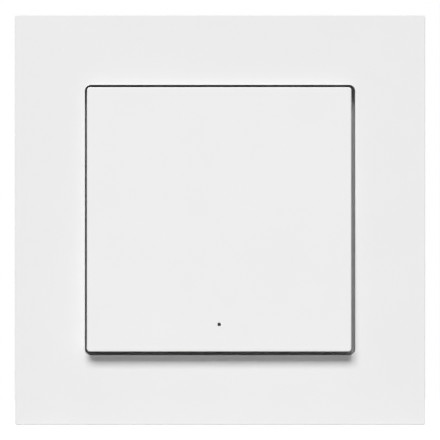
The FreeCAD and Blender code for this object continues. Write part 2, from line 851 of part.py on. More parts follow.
def make_radio_parts():
    shield_x = s.shield_inset + s.shield_wide / 2 - board_half
    antenna_x = board_half - s.antenna_inset
    can_x = antenna_x - s.can_from_antenna
    can_z = s.shield_z + s.shield_tall / 2 + s.can_gap + s.can_base / 2
    shield = Piece("radio_shield")
    half = s.shield_wide / 2
    tall = s.shield_tall / 2
    top = board_front + s.shield_height

    def shrunk(by):
        return rectangle(shield_x - half + by, shield_x + half - by,
                         s.shield_z - tall + by, s.shield_z + tall - by)

    shield.pad("can", "front", [shrunk(as_size(0))], board_front, top)
    shield.round("corners", s.shield_corner, parallel_to_depth)
    shield.cut("inside", "front", [shrunk(s.shield_wall)], board_front, top - s.shield_wall)
    chip = Piece("radio_chip")
    side = s.chip_side / 2
    chip_z = s.shield_z + s.chip_up
    chip.pad("package", "front",
             [rectangle(shield_x - side, shield_x + side, chip_z - side, chip_z + side)],
             board_front, board_front + s.chip_height)
    crystal = Piece("crystal")
    wide = s.crystal_wide / 2
    high = s.crystal_tall / 2
    crystal_z = chip_z - s.crystal_drop
    crystal.pad("package", "front",
                [rectangle(shield_x - wide, shield_x + wide, crystal_z - high, crystal_z + high)],
                board_front, board_front + s.crystal_height)
    can = Piece("capacitor")
    base = s.can_base / 2
    base_top = board_front + s.can_base_height
    can.pad("base", "front",
            [rectangle(can_x - base, can_x + base, can_z - base, can_z + base)], board_front, base_top)
    can.pad("can", "front", [circle(can_x, can_z, s.can_radius)], base_top, base_top + s.can_height)
    make_antenna(antenna_x)


def parallel_to_depth(edge):
    first, last = edge.Vertexes[0].Point, edge.Vertexes[-1].Point
    return abs(first.y - last.y) > 0.99 * (first - last).Length > 0.01


def make_antenna(across):
    """A bent wire: up from the board, along it, and down to it again."""
    piece = Piece("antenna")
    half = s.antenna_thick / 2
    low = s.antenna_z - s.antenna_length / 2
    high = low + s.antenna_length
    level = board_front + s.antenna_height
    piece.pad("wire", "side",
              [polygon((board_front, low - half), (board_front, low + half), (level - half, low + half),
                       (level - half, high - half), (board_front, high - half), (board_front, high + half),
                       (level + half, high + half), (level + half, low - half))],
              across - half, across + half)
    piece.round("bends", s.antenna_bend, lambda edge: outer_bend(edge, level + half, low - half, high + half))


def outer_bend(edge, level, low, high):
    first, last = edge.Vertexes[0].Point, edge.Vertexes[-1].Point
    if abs(first.x - last.x) < 0.5 * (first - last).Length:
        return False
    at_end = min(abs(first.z - low.number), abs(first.z - high.number)) < SAME
    return at_end and abs(depth_of(first) - level.number) < SAME


def make_cell(name, side, points_up):
    piece = Piece(name)
    up = 1 if points_up else -1
    nub_end = up * contact_face
    can_end = nub_end - up * s.nub_length
    back_end = nub_end - up * s.cell_length
    piece.turned("cell", "front",
                 [polygon((0, back_end), (s.cell_radius, back_end),
                          (s.cell_radius, can_end - up * s.cell_edge), (s.cell_radius - s.cell_edge, can_end),
                          (s.nub_radius, can_end), (s.nub_radius, nub_end), (0, nub_end))],
                 cell_axis, side * cell_x)


def contact_outline(side, reach):
    """A contact's blade against the end of a bay, and its strip to a place across."""
    outer = side * (cell_x + s.contact_width / 2)
    inner = side * (cell_x - s.contact_width / 2)
    blade_high = s.module_split
    return [(outer, s.contact_low), (outer, blade_high), (inner, blade_high), (inner, strip_high),
            (reach, strip_high), (reach, strip_low), (inner, strip_low), (inner, s.contact_low)]


def make_contacts():
    for name, side in (("positive_contact", -1), ("negative_contact", 1)):
        piece = Piece(name)
        outer = side * (screw_x - s.boss_half - s.lug_to_boss)
        inner = outer - side * s.lug_width
        piece.pad("blade", "top", [polygon(*contact_outline(side, inner))], contact_face, bay_half_length)
        piece.pad("solder_lug", "front",
                  [rectangle(*in_order(inner, outer), contact_face - s.lug_reach, contact_face)],
                  strip_low, strip_low + s.lug_foil)
    bridge = Piece("contact_bridge")
    right = contact_outline(1, as_size(0))
    left = contact_outline(-1, as_size(0))
    whole = right[:4] + left[3::-1] + left[:5:-1] + right[6:]
    bridge.pad("strip", "top", [polygon(*whole)], -bay_half_length, -contact_face)


def make_spring(name, side, points_up):
    """A conical battery spring of square wire, wide on the contact and narrow on the cell."""
    piece = Piece(name)
    up = 1 if points_up else -1
    half = s.spring_wire / 2
    middle = up * (half - contact_face)
    height = s.spring_height - s.spring_wire
    helix = piece.body.newObject("PartDesign::AdditiveHelix", "coil")
    sketch = piece.sketch("coil", "front", [square_at(s.spring_wide, middle, half)],
                          cell_axis, across=side * cell_x)
    helix.Profile = sketch
    helix.ReferenceAxis = (sketch, ["V_Axis"])
    helix.Mode = "height-turns-angle"
    bind(helix, "Height", height)
    bind(helix, "Turns", s.spring_turns)
    bind(helix, "Angle", -s.spring_cone)
    helix.Reversed = not points_up


def make_pairing():
    """The pairing button in the module's floor, its switch on the back of the board, and the stem between."""
    body_back = s.board_back - s.pairing_height
    place = s.button_place
    half = s.pairing_side / 2
    stem_front = body_back + s.pairing_stem_inside
    flange_back = floor_front + s.button_float
    flange_front = flange_back + s.button_flange_thick
    housing = Piece("pairing_switch_body")
    housing.pad("housing", "front", [square_at(as_size(0), place, half)], body_back, s.board_back)
    housing.cut("bore", "front", [circle(as_size(0), place, s.pairing_stem_radius + s.stem_gap)],
                body_back, stem_front + s.button_travel + s.button_float)
    stem = Piece("pairing_switch_stem")
    stem.pad("rod", "front", [circle(as_size(0), place, s.pairing_stem_radius)], flange_front, stem_front)
    button = Piece("pairing_button")
    button.pad("cap", "front", [circle(as_size(0), place, s.button_radius)],
               s.module_back + s.button_recess, flange_back)
    button.pad("flange", "front", [circle(as_size(0), place, s.button_flange)], flange_back, flange_front)


def make_screws():
    """One screw, and its like turned half round to the opposite corner."""
    screw = Piece("screw_form")
    PIECES.remove(screw.body)
    screw.turned("shank", "top",
                 [polygon((0, screw_head_back), (s.screw_head, screw_head_back),
                          (s.screw_head, screw_head_front), (s.screw_radius, screw_head_front),
                          (s.screw_radius, screw_end), (0, screw_end))],
                 screw_z, screw_x)
    arm = s.screw_cross_reach
    half = s.screw_cross / 2
    cross = [(half, half), (half, arm), (-half, arm), (-half, half), (-arm, half), (-arm, -half),
             (-half, -half), (-half, -arm), (half, -arm), (half, -half), (arm, -half), (arm, half)]
    screw.cut("cross", "front", [polygon(*[(screw_x + across, screw_z + up) for across, up in cross])],
              screw_head_back, screw_head_back + s.screw_cross_depth)
    opposite = [screw.body]
    for name, normal in (("screw_left", (1, 0, 0)), ("screw_low_left", (0, 0, 1))):
        mirror = document.addObject("Part::Mirroring", name)
        mirror.Source = opposite[-1]
        mirror.Normal = FreeCAD.Vector(*normal)
        opposite.append(mirror)
    group = document.addObject("Part::Compound", "housing_screws")
    group.Links = [screw.body, opposite[-1]]
    group.Label = "housing_screws"
    PIECES.append(group)


def check(objects):
    """Stop if a feature failed or a piece has no sound solid."""
    for item in objects:
        if "Invalid" in item.State or "Error" in item.State:
            raise RuntimeError("feature %s of the model failed: %s" % (item.Name, item.State))
    for piece in PIECES:
        if piece.Shape.isNull() or not piece.Shape.isValid() or not piece.Shape.Solids:
            raise RuntimeError("piece %s has no valid solid" % piece.Label)


def main():
    make_frame()
    make_rocker()
    make_wall_plate()
    make_module_base()
    make_module_carrier()
    make_circuit_board()
    make_rocker_switch("upper", 1)
    make_rocker_switch("lower", -1)
    make_light()
    make_radio_parts()
    make_cell("battery_left", -1, points_up=True)
    make_cell("battery_right", 1, points_up=False)
    make_contacts()
    make_spring("battery_spring_left", -1, points_up=True)
    make_spring("battery_spring_right", 1, points_up=False)
    make_pairing()
    make_screws()
    document.recompute()
    check(document.Objects)
    os.makedirs("parts", exist_ok=True)
    for piece in PIECES:
        piece.Shape.exportStep("parts/%s.step" % piece.Label)
        box = piece.Shape.BoundBox
        print("%-22s %d solid, %9.2f mm3, x %.2f..%.2f, depth %.2f..%.2f, z %.2f..%.2f" % (
            piece.Label, len(piece.Shape.Solids), piece.Shape.Volume, box.XMin, box.XMax,
            -box.YMax, -box.YMin, box.ZMin, box.ZMax))


main()
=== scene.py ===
"""Looks of the battery wall remote: the finish of each piece, its small details, light and camera.

Metres, in the frame of the solids: +X to the right, +Z up, the wall at Y = 0, the front toward -Y.
"""

import json
import math

import bmesh
import bpy
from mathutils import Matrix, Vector


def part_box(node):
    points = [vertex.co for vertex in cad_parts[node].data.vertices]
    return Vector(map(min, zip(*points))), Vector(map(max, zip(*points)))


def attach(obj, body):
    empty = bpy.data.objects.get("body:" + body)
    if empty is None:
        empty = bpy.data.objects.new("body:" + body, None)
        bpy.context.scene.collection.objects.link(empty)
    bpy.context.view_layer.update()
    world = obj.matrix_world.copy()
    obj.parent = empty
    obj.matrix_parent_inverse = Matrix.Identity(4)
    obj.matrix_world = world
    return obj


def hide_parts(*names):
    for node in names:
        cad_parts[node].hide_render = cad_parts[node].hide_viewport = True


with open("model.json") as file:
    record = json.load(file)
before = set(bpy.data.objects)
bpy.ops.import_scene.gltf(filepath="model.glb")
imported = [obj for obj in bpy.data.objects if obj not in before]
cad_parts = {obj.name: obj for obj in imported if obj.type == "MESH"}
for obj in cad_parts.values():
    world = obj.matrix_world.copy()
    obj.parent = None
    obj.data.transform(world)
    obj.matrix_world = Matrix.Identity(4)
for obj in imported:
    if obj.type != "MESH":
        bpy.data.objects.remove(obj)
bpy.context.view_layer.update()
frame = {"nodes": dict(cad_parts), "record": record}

MM = 0.001

# Places read from the solids
FRAME_LOW, FRAME_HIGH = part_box("frame")
FRONT = FRAME_LOW.y
FRAME_MIDDLE = (FRAME_LOW + FRAME_HIGH) / 2

# Camera: straight on, far away, with the photograph's framing at the frame's face
VIEW_WIDTH = 92.1 * MM
CAMERA_DISTANCE = 3.0
CAMERA_X = FRAME_MIDDLE.x
CAMERA_Z = FRAME_MIDDLE.z

# Light: a large soft panel above the front and a little to the left, and an even room
KEY_DIRECTION = Vector((-0.15, -1.0, 0.90)).normalized()
KEY_DISTANCE = 4.0
KEY_SPREAD = (37.0, 20.0)
KEY_ENERGY = 190.0
ROOM_LEVEL = 0.13
FLOOR_REACH = 0.4
FLOOR_COLOR = 0.85
FLOOR_BOUNCE = 0.28
FLOOR_GLOW = 0.8

# Cells: how far the bare metal of the ends reaches, the band at the plus end, and their colours
BARE_RADIUS = 4.6 * MM
BAND_LENGTH = 9.5 * MM
SLEEVE_COLOR = (0.05, 0.10, 0.17)
BAND_COLOR = (0.62, 0.63, 0.62)
BARE_COLOR = (0.72, 0.70, 0.66)

# Polarity signs: their cells, their film or height, and their places in mm on the housing's back
MARK_CELL = 0.45 * MM
PRINT_FILM = 0.015 * MM
RAISED_HEIGHT = 0.12 * MM
RAISED_ROOT = 0.05 * MM
PLUS_PLACE = 0.62 * BAND_LENGTH
MINUS_PLACE = 3.2 * MM
PLUS = ("..#..", "..#..", "#####", "..#..", "..#..")
MINUS = (".....", ".....", "#####", ".....", ".....")
RAISED_SIGNS = ((-10.6, 15.5, PLUS), (-10.6, -12.5, MINUS), (10.6, 12.5, MINUS), (10.6, -15.5, PLUS))

# Springs of round wire: the closed turns at both ends and the open ones between
WIRE_RADIUS = 0.25 * MM
SPRING_WIDE = 3.1 * MM
SPRING_NARROW = 2.5 * MM
CLOSED_TURNS = 0.75
OPEN_TURNS = 2.0
STEPS_PER_TURN = 32
WIRE_SIDES = 10
TURN_EASING = 0.2

# Screws: head, core and thread, and the cross recess
HEAD_RADIUS = 1.8 * MM
HEAD_HEIGHT = 1.1 * MM
THREAD_RADIUS = 1.0 * MM
CORE_RADIUS = 0.74 * MM
HEAD_CHAMFER = 0.1 * MM
TIP_LENGTH = 1.2 * MM
LATHE_SIDES = 32
THREAD_PITCH = 0.8 * MM
THREAD_STEPS = 20
THREAD_FADE = 10
THREAD_ROOT = 0.03 * MM
THREAD_ROOT_HALF = 0.24
THREAD_CREST_HALF = 0.03
CROSS_REACH = 1.05 * MM
CROSS_WIDTH = 0.42 * MM
CROSS_DEPTH = 0.75 * MM
CROSS_TAPER = 0.55
CROSS_BEYOND = 0.1 * MM
SHARP_ANGLE = math.radians(35.0)

# Board: lacquer and tracks, the places of the small parts in mm, and the solder at the switches' legs
MASK_COLOR = (0.012, 0.10, 0.035)
TRACK_COLOR = (0.035, 0.20, 0.07)
TRACK_PITCH = 2.4 * MM
SMALL_PARTS = ((-10.5, 9.0), (-8.0, 9.0), (-5.5, 9.0), (4.5, 1.5),
               (4.5, -1.0), (4.5, -3.5), (4.5, -6.0), (-6.0, -12.0))
SMALL_PART_HALF = Vector((0.8, 0.225, 0.4)) * MM
BODY_SHARE = 0.98
CAP_SHARE = 1.04
CAP_HALF = 0.2 * MM
JOINT_HALF = Vector((0.65, 0.16, 0.4)) * MM
JOINT_BEYOND = 0.5 * MM
LEG_PLACE = 2.2 * MM

# Noise stays mostly between these levels, which are spread over a finish's full range
NOISE_LOW = 0.3
NOISE_HIGH = 0.7


class Finish:
    """A material, its shader and the bump that has been added to it so far."""

    def __init__(self, name, color, roughness, metallic=0.0):
        self.material = bpy.data.materials.new(name)
        self.material.use_nodes = True
        self.nodes = self.material.node_tree.nodes
        self.links = self.material.node_tree.links
        self.shader = self.nodes["Principled BSDF"]
        self.color = color
        self.roughness = roughness
        self.shader.inputs["Base Color"].default_value = (*color, 1.0)
        self.shader.inputs["Roughness"].default_value = roughness
        self.shader.inputs["Metallic"].default_value = metallic
        self.place = self.nodes.new("ShaderNodeTexCoord").outputs["Object"]
        self.bumped = None

    def noise(self, size, detail=3.0, stretch=(1.0, 1.0, 1.0)):
        """Noise whose features measure about a given size in metres."""
        mapping = self.nodes.new("ShaderNodeMapping")
        mapping.inputs["Scale"].default_value = stretch
        self.links.new(self.place, mapping.inputs["Vector"])
        noise = self.nodes.new("ShaderNodeTexNoise")
        noise.inputs["Scale"].default_value = 1.0 / size
        noise.inputs["Detail"].default_value = detail
        self.links.new(mapping.outputs["Vector"], noise.inputs["Vector"])
        return noise.outputs["Fac"]

    def spread(self, value, low, high):
        """A noise spread over a range."""
        node = self.nodes.new("ShaderNodeMapRange")
        node.inputs["From Min"].default_value = NOISE_LOW
        node.inputs["From Max"].default_value = NOISE_HIGH
        node.inputs["To Min"].default_value = low
        node.inputs["To Max"].default_value = high
        self.links.new(value, node.inputs["Value"])
        return node.outputs["Result"]

    def along(self, axis):
        """The place along one axis of the model."""
        split = self.nodes.new("ShaderNodeSeparateXYZ")
        self.links.new(self.place, split.inputs["Vector"])
        return split.outputs[axis]

    def from_axis(self, x, y):
        """The distance from an upright axis."""
        shift = self.nodes.new("ShaderNodeVectorMath")
        shift.operation = "SUBTRACT"
        shift.inputs[1].default_value = (x, y, 0.0)
        self.links.new(self.place, shift.inputs[0])
        flatten = self.nodes.new("ShaderNodeVectorMath")
        flatten.operation = "MULTIPLY"
        flatten.inputs[1].default_value = (1.0, 1.0, 0.0)
        self.links.new(shift.outputs["Vector"], flatten.inputs[0])
        length = self.nodes.new("ShaderNodeVectorMath")
        length.operation = "LENGTH"
        self.links.new(flatten.outputs["Vector"], length.inputs[0])
        return length.outputs["Value"]

    def compare(self, value, operation, level):
        """1 where a value is on one side of a level, and 0 on the other."""
        node = self.nodes.new("ShaderNodeMath")
        node.operation = operation
        node.inputs[1].default_value = level
        self.links.new(value, node.inputs[0])
        return node.outputs["Value"]

    def blend(self, mask, low, high):
        """A colour chosen by a mask; each colour is a tuple or another blend."""
        node = self.nodes.new("ShaderNodeMix")
        node.data_type = "RGBA"
        factor, first, second = node.inputs[0], node.inputs[6], node.inputs[7]
        self.links.new(mask, factor)
        for socket, color in ((first, low), (second, high)):
            if isinstance(color, tuple):
                socket.default_value = (*color, 1.0)
            else:
                self.links.new(color, socket)
        return node.outputs[2]

    def paint(self, color):
        """Give the surface a colour made by nodes."""
        self.links.new(color, self.shader.inputs["Base Color"])

    def tint(self, size, amount):
        """Let the colour drift a little from place to place."""
        brightness = self.nodes.new("ShaderNodeHueSaturation")
        brightness.inputs["Color"].default_value = (*self.color, 1.0)
        level = self.spread(self.noise(size), 1.0 - amount, 1.0 + amount)
        self.links.new(level, brightness.inputs["Value"])
        self.paint(brightness.outputs["Color"])

    def gloss_drift(self, size, amount):
        """Let the roughness drift a little from place to place."""
        level = self.spread(self.noise(size), self.roughness - amount, self.roughness + amount)
        self.links.new(level, self.shader.inputs["Roughness"])

    def bump(self, height, depth):
        """Add a height, whose full range measures a depth in metres."""
        node = self.nodes.new("ShaderNodeBump")
        node.inputs["Strength"].default_value = 1.0
        node.inputs["Distance"].default_value = depth
        self.links.new(height, node.inputs["Height"])
        if self.bumped is not None:
            self.links.new(self.bumped, node.inputs["Normal"])
        self.bumped = node.outputs["Normal"]
        self.links.new(self.bumped, self.shader.inputs["Normal"])


def moulded(name, color, roughness, grain=0.15 * MM, depth=0.004 * MM, drift=0.006):
    """Injection moulded plastic: a fine spark-eroded grain under a soft sheen."""
    finish = Finish(name, color, roughness)
    finish.tint(18 * MM, drift)
    finish.gloss_drift(6 * MM, 0.03)
    finish.bump(finish.noise(grain, detail=2.0), depth)
    return finish


def metal(name, color, roughness, stretch=(1.0, 1.0, 1.0), grain=0.12 * MM):
    """Plated or bare metal with rolling lines."""
    finish = Finish(name, color, roughness, metallic=1.0)
    finish.tint(3 * MM, 0.04)
    finish.gloss_drift(1.5 * MM, 0.07)
    finish.bump(finish.noise(grain, detail=4.0, stretch=stretch), 0.003 * MM)
    return finish


def solder_mask():
    """Green lacquer over copper tracks on a fine grid."""
    finish = Finish("board", MASK_COLOR, 0.32)
    tracks = finish.nodes.new("ShaderNodeTexBrick")
    tracks.inputs["Scale"].default_value = 1.0 / TRACK_PITCH
    tracks.inputs["Mortar Size"].default_value = 0.09
    tracks.inputs["Mortar Smooth"].default_value = 0.1
    turned = finish.nodes.new("ShaderNodeMapping")
    turned.inputs["Rotation"].default_value = (math.radians(90), 0.0, 0.0)
    finish.links.new(finish.place, turned.inputs["Vector"])
    finish.links.new(turned.outputs["Vector"], tracks.inputs["Vector"])
    finish.paint(finish.blend(tracks.outputs["Fac"], MASK_COLOR, TRACK_COLOR))
    finish.gloss_drift(4 * MM, 0.06)
    finish.bump(tracks.outputs["Fac"], 0.03 * MM)
    finish.bump(finish.noise(0.2 * MM), 0.003 * MM)
    return finish


def two_part(name, level, back, front, roughness):
    """A small part whose base and top differ, split at a depth."""
    finish = Finish(name, back, roughness)
    finish.paint(finish.blend(finish.compare(finish.along("Y"), "LESS_THAN", level), back, front))
    finish.gloss_drift(0.8 * MM, 0.08)
    finish.bump(finish.noise(0.1 * MM), 0.003 * MM)
    return finish


def clear_plastic():
    """Clear moulded plastic, almost free of colour."""
    finish = Finish("lens", (0.93, 0.95, 0.96), 0.12)
    finish.shader.inputs["Transmission Weight"].default_value = 0.9
    finish.shader.inputs["IOR"].default_value = 1.49
    finish.gloss_drift(0.8 * MM, 0.05)
    finish.bump(finish.noise(0.3 * MM), 0.002 * MM)
    return finish


def jacket(name, node, plus_up):
    """A cell's printed sleeve with a pale band at the plus end, and bare metal at both ends."""
    low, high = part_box(node)
    middle = (low + high) / 2
    finish = Finish(name, SLEEVE_COLOR, 0.28)
    if plus_up:
        band = finish.compare(finish.along("Z"), "GREATER_THAN", high.z - BAND_LENGTH)
    else:
        band = finish.compare(finish.along("Z"), "LESS_THAN", low.z + BAND_LENGTH)
    bare = finish.compare(finish.from_axis(middle.x, middle.y), "LESS_THAN", BARE_RADIUS)
    sleeve = finish.blend(band, SLEEVE_COLOR, BAND_COLOR)
    finish.paint(finish.blend(bare, sleeve, BARE_COLOR))
    finish.links.new(bare, finish.shader.inputs["Metallic"])
    finish.gloss_drift(2 * MM, 0.05)
    finish.bump(finish.noise(0.35 * MM, stretch=(1.0, 1.0, 0.15)), 0.004 * MM)
    return finish


def make_finishes():
    """One finish for each slot of the record but the cells', and one for the solder."""
    return {
        "white_plastic": moulded("white_plastic", (0.80, 0.80, 0.80), 0.42),
        "plate_plastic": moulded("plate_plastic", (0.66, 0.66, 0.655), 0.55, depth=0.008 * MM),
        # The carrier is a real part, but its grey is set below the white of the frame so that the gaps
        # round the rocker, where it shows, read darker: that darkening is painted shade.
        "carrier_plastic": moulded("carrier_plastic", (0.60, 0.60, 0.595), 0.5, depth=0.006 * MM),
        "dark_plastic": moulded("dark_plastic", (0.045, 0.047, 0.05), 0.55, depth=0.008 * MM, drift=0.05),
        "button_plastic": moulded("button_plastic", (0.66, 0.66, 0.65), 0.45),
        "switch_housing": moulded("switch_housing", (0.02, 0.02, 0.021), 0.5, grain=0.1 * MM, drift=0.08),
        "switch_stem": moulded("switch_stem", (0.62, 0.61, 0.57), 0.38, grain=0.2 * MM, drift=0.02),
        "chip": moulded("chip", (0.014, 0.014, 0.015), 0.6, grain=0.08 * MM, drift=0.1),
        "board": solder_mask(),
        "lens": clear_plastic(),
        "lamp": two_part("lamp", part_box("status_led")[1].y - 0.3 * MM, (0.75, 0.75, 0.72),
                         (0.80, 0.62, 0.12), 0.35),
        "tin": metal("tin", (0.66, 0.66, 0.64), 0.34, stretch=(0.12, 1.0, 1.0)),
        "nickel": metal("nickel", (0.66, 0.64, 0.60), 0.28, stretch=(0.15, 1.0, 1.0)),
        "crystal_can": metal("crystal_can", (0.72, 0.70, 0.64), 0.22),
        "capacitor_can": metal("capacitor_can", (0.70, 0.70, 0.71), 0.3, stretch=(1.0, 0.2, 1.0)),
        "antenna_wire": metal("antenna_wire", (0.70, 0.60, 0.38), 0.3, stretch=(1.0, 1.0, 0.15)),
        "screw_steel": metal("screw_steel", (0.56, 0.56, 0.55), 0.32),
        "solder": metal("solder", (0.62, 0.63, 0.64), 0.25, grain=0.3 * MM),
    }


FINISHES = make_finishes()


def dress(node, finish):
    """Give a solid's own object a finish."""
    materials = frame["nodes"][node].data.materials
    materials.clear()
    materials.append(finish.material)


def add_piece(name, form, slot, body="housing", finish=None, smooth=True):
    """Turn a mesh form into a piece that rides on a body."""
    bmesh.ops.recalc_face_normals(form, faces=form.faces)
    mesh = bpy.data.meshes.new(name)
    form.to_mesh(mesh)
    form.free()
    for face in mesh.polygons:
        face.use_smooth = smooth
    mesh.materials.append((finish or FINISHES[slot]).material)
    piece = bpy.data.objects.new(name, mesh)
    bpy.context.collection.objects.link(piece)
    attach(piece, body)
    return piece


def sweep(form, path, radius):
    """A closed round wire along a list of points."""
    sides = WIRE_SIDES
    rings = []
    for number, point in enumerate(path):
        before = path[max(number - 1, 0)]
        after = path[min(number + 1, len(path) - 1)]
        ahead = (after - before).normalized()
        across = ahead.cross(Vector((0.0, 0.0, 1.0))).normalized()
        up = across.cross(ahead)
        ring = []
        for side in range(sides):
            angle = 2 * math.pi * side / sides
            outward = math.cos(angle) * across + math.sin(angle) * up
            ring.append(form.verts.new(point + radius * outward))
        rings.append(ring)
    for first, second in zip(rings, rings[1:]):
        for side in range(sides):
            following = (side + 1) % sides
            form.faces.new((first[side], first[following], second[following], second[side]))
    form.faces.new(rings[0][::-1])
    form.faces.new(rings[-1])


def add_spring(node, plus_up):
    """A conical spring of round wire in place of the plain coil."""
    cell_low, cell_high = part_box("battery_left" if plus_up else "battery_right")
    middle = (cell_low + cell_high) / 2
    spring_low, spring_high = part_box(node)
    if plus_up:
        start, end = spring_low.z + WIRE_RADIUS, cell_low.z - WIRE_RADIUS
    else:
        start, end = spring_high.z - WIRE_RADIUS, cell_high.z + WIRE_RADIUS
    turns = 2 * CLOSED_TURNS + OPEN_TURNS
    path = []
    for step in range(int(turns * STEPS_PER_TURN) + 1):
        turn = step / STEPS_PER_TURN
        share = min(max((turn - CLOSED_TURNS) / OPEN_TURNS, 0.0), 1.0)
        eased = share * share * (3 - 2 * share)
        share = eased * TURN_EASING + share * (1.0 - TURN_EASING)
        radius = SPRING_WIDE + (SPRING_NARROW - SPRING_WIDE) * turn / turns
        angle = 2 * math.pi * turn
        path.append(Vector((middle.x + radius * math.cos(angle), middle.y + radius * math.sin(angle),
                            start + (end - start) * share)))
    form = bmesh.new()
    sweep(form, path, WIRE_RADIUS)
    piece = add_piece(node + "_wire", form, "nickel")
    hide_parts(node)


def lathe(form, x, z, profile):
    """Turn a list of (radius, y) about an axis that runs from back to front."""
    sides = LATHE_SIDES
    rings = []
    for radius, y in profile:
        if radius == 0:
            rings.append([form.verts.new((x, y, z))])
            continue
        rings.append([form.verts.new((x + radius * math.cos(2 * math.pi * side / sides), y,
                                      z + radius * math.sin(2 * math.pi * side / sides)))
                      for side in range(sides)])
    for first, second in zip(rings, rings[1:]):
        for side in range(sides):
            following = (side + 1) % sides
            corners = [first[side % len(first)], first[following % len(first)],
                       second[following % len(second)], second[side % len(second)]]
            form.faces.new(list(dict.fromkeys(corners)))


def add_screws():
    """Cross-recess screws with a thread in place of the plain ones."""
    low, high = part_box("housing_screws")
    head_y, tip_y = high.y, low.y
    neck_y = head_y - HEAD_HEIGHT
    point_y = tip_y + TIP_LENGTH
    places = [(side * (high.x - HEAD_RADIUS), side * (high.z - HEAD_RADIUS)) for side in (-1, 1)]
    form = bmesh.new()
    cutters = bmesh.new()
    for x, z in places:
        lathe(form, x, z, [(0, head_y), (0.75 * HEAD_RADIUS, head_y - 0.02 * MM),
                           (0.92 * HEAD_RADIUS, head_y - 0.12 * MM), (HEAD_RADIUS, head_y - 0.4 * MM),
                           (HEAD_RADIUS, neck_y + HEAD_CHAMFER), (0.96 * HEAD_RADIUS, neck_y),
                           (CORE_RADIUS, neck_y), (CORE_RADIUS, point_y),
                           (0.3 * MM, tip_y + 0.1 * MM), (0, tip_y)])
        add_cross(cutters, x, z, head_y + CROSS_BEYOND, head_y - CROSS_DEPTH)
    bmesh.ops.recalc_face_normals(cutters, faces=cutters.faces)
    cutter_mesh = bpy.data.meshes.new("cross_cutter")
    cutters.to_mesh(cutter_mesh)
    cutters.free()
    cutter = bpy.data.objects.new("cross_cutter", cutter_mesh)
    bpy.context.collection.objects.link(cutter)
    piece = add_piece("recessed_screws", form, "screw_steel")
    cut = piece.modifiers.new("cross", "BOOLEAN")
    cut.operation = "DIFFERENCE"
    cut.solver = "EXACT"
    cut.object = cutter
    bpy.context.view_layer.update()
    evaluated = piece.evaluated_get(bpy.context.evaluated_depsgraph_get())
    mesh = bpy.data.meshes.new_from_object(evaluated)
    piece.modifiers.clear()
    bpy.data.objects.remove(cutter)
    form = bmesh.new()
    form.from_mesh(mesh)
    for x, z in places:
        thread(form, x, z, neck_y - 0.3 * MM, point_y)
    form.to_mesh(mesh)
    form.free()
    for face in mesh.polygons:
        face.use_smooth = True
    mesh.set_sharp_from_angle(angle=SHARP_ANGLE)
    piece.data = mesh
    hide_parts("housing_screws")


def add_cross(form, x, z, top_y, bottom_y):
    """A cross-shaped plug that narrows towards its bottom."""
    half, reach = CROSS_WIDTH / 2, CROSS_REACH
    outline = ((half, reach), (-half, reach), (-half, half), (-reach, half),
               (-reach, -half), (-half, -half), (-half, -reach), (half, -reach),
               (half, -half), (reach, -half), (reach, half), (half, half))
    ends = []
    for y, scale in ((top_y, 1.0), (bottom_y, CROSS_TAPER)):
        ends.append([form.verts.new((x + a * scale, y, z + b * scale)) for a, b in outline])
    top, bottom = ends
    form.faces.new(top)
    form.faces.new(bottom[::-1])
    for corner in range(len(outline)):
        following = (corner + 1) % len(outline)
        form.faces.new((top[following], top[corner], bottom[corner], bottom[following]))


def thread(form, x, z, start_y, end_y):
    """A ridge that winds round a screw's core."""
    count = int(abs(end_y - start_y) / THREAD_PITCH * THREAD_STEPS)
    root = CORE_RADIUS - THREAD_ROOT
    section = ((root, THREAD_ROOT_HALF), (THREAD_RADIUS, THREAD_CREST_HALF),
               (THREAD_RADIUS, -THREAD_CREST_HALF), (root, -THREAD_ROOT_HALF))
    rings = []
    for step in range(count + 1):
        angle = 2 * math.pi * step / THREAD_STEPS
        y = start_y + (end_y - start_y) * step / count
        fade = min(1.0, step / THREAD_FADE, (count - step) / THREAD_FADE)
        ring = []
        for radius, half in section:
            reach = CORE_RADIUS + (radius - CORE_RADIUS) * fade
            ring.append(form.verts.new((x + reach * math.cos(angle), y + half * THREAD_PITCH,
                                        z + reach * math.sin(angle))))
        rings.append(ring)
    for first, second in zip(rings, rings[1:]):
        for side in range(4):
            following = (side + 1) % 4
            form.faces.new((first[side], first[following], second[following], second[side]))
    form.faces.new(rings[0])
    form.faces.new(rings[-1][::-1])


def add_marks():
    """Plus and minus signs: printed on the cells and moulded beside the bays."""
    for node, plus_up in (("battery_left", True), ("battery_right", False)):
        low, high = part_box(node)
        middle = (low + high) / 2
        radius = (high.x - low.x) / 2
        way = 1 if plus_up else -1
        plus_z = (high.z if plus_up else low.z) - way * PLUS_PLACE
        minus_z = (low.z if plus_up else high.z) + way * MINUS_PLACE
        for name, rows, z in (("plus", PLUS, plus_z), ("minus", MINUS, minus_z)):
            form = bmesh.new()
            for facing in (0.0, math.pi):
                wrap_mark(form, rows, middle, z, radius, facing)
            slot = "chip" if name == "plus" else "white_plastic"
            add_piece("%s_%s_print" % (node, name), form, slot, smooth=False)
    back_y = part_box("module_base")[1].y
    form = bmesh.new()
    for x, z, rows in RAISED_SIGNS:
        flat_mark(form, rows, x * MM, z * MM, back_y)
    add_piece("moulded_polarity_signs", form, "dark_plastic", smooth=False)


def mark_cells(rows):
    """The filled cells of a sign, counted from its middle."""
    for row, line in enumerate(rows):
        for column, sign in enumerate(line):
            if sign == "#":
                yield column - len(line) / 2, len(rows) / 2 - row - 1


def box_of(form, corners):
    """A closed block from eight corners: four in front and four behind."""
    points = [form.verts.new(corner) for corner in corners]
    for face in ((0, 1, 2, 3), (7, 6, 5, 4), (0, 4, 5, 1), (1, 5, 6, 2), (2, 6, 7, 3), (3, 7, 4, 0)):
        form.faces.new([points[number] for number in face])


